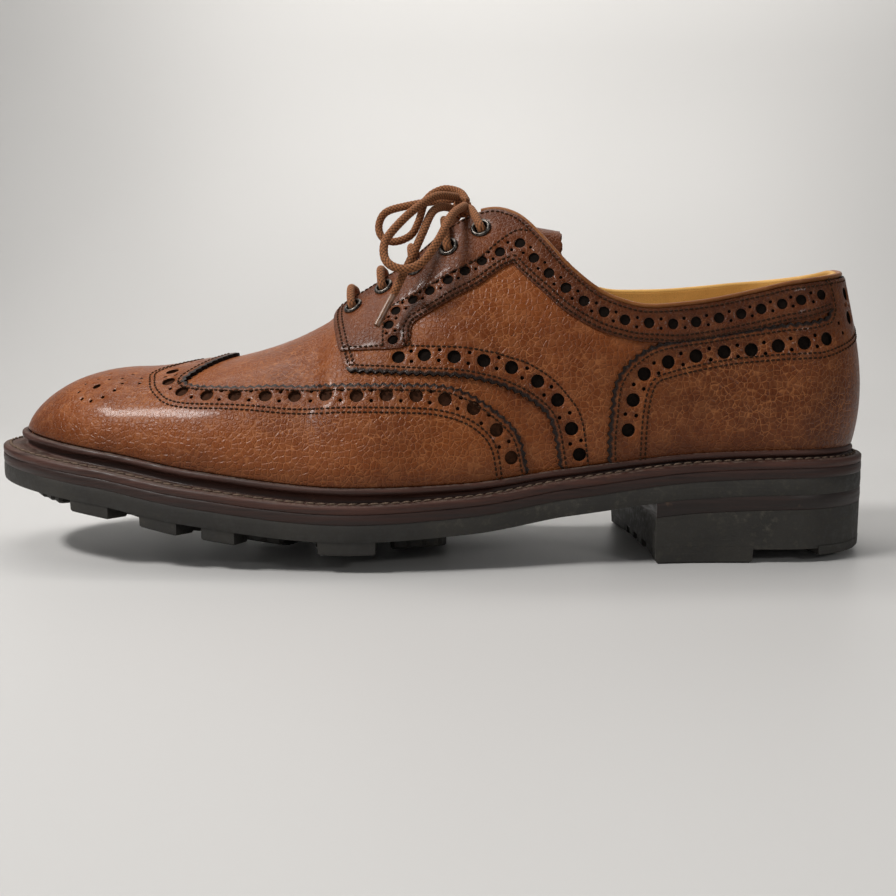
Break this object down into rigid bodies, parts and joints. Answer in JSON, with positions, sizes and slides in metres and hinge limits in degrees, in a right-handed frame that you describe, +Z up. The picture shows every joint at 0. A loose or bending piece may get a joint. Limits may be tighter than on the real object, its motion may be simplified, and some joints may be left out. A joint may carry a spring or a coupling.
{
  "type": "wingtip shoe",
  "caption": "Brown grain-leather wingtip derby shoe with punched brogue bands, open lacing tied in a bow, storm welt and lugged rubber sole.",
  "frame": {"origin": "middle of the bounding box of the shoe without its bow, on the floor", "axes": "+X towards the heel, -X towards the toe, +Y towards the inner (medial) side, +Z up"},
  "size_m": [0.3064, 0.1066, 0.1306],
  "materials": {
    "leather": "grained satin",
    "panel_leather": "grained satin",
    "lining": "matte",
    "sole_leather": "waxed edge",
    "rubber": "matte",
    "eyelet_metal": "dark satin",
    "lace": "braided cotton"
  },
  "bodies": {
    "root": {"counter": "panel_leather", "eyelet_lateral_1": "eyelet_metal", "eyelet_lateral_2": "eyelet_metal", "eyelet_lateral_3": "eyelet_metal", "eyelet_lateral_4": "eyelet_metal", "eyelet_lateral_5": "eyelet_metal", "eyelet_medial_1": "eyelet_metal", "eyelet_medial_2": "eyelet_metal", "eyelet_medial_3": "eyelet_metal", "eyelet_medial_4": "eyelet_metal", "eyelet_medial_5": "eyelet_metal", "facing_lateral": "panel_leather", "facing_medial": "panel_leather", "heel_block": "rubber", "heel_lift": "sole_leather", "insole": "lining", "lace_bar_1": "lace", "lace_bar_2": "lace", "lace_bar_3": "lace", "lace_bar_4": "lace", "lace_bar_5": "lace", "lace_end_lateral": "lace", "lace_end_medial": "lace", "lace_knot": "lace", "lace_loop_lateral": "lace", "lace_loop_medial": "lace", "midsole": "sole_leather", "outsole": "rubber", "quarter_lateral": "leather", "quarter_medial": "leather", "tongue": "leather", "upper": "leather", "welt": "sole_leather", "wing_cap": "panel_leather"}
  },
  "joints": []
}
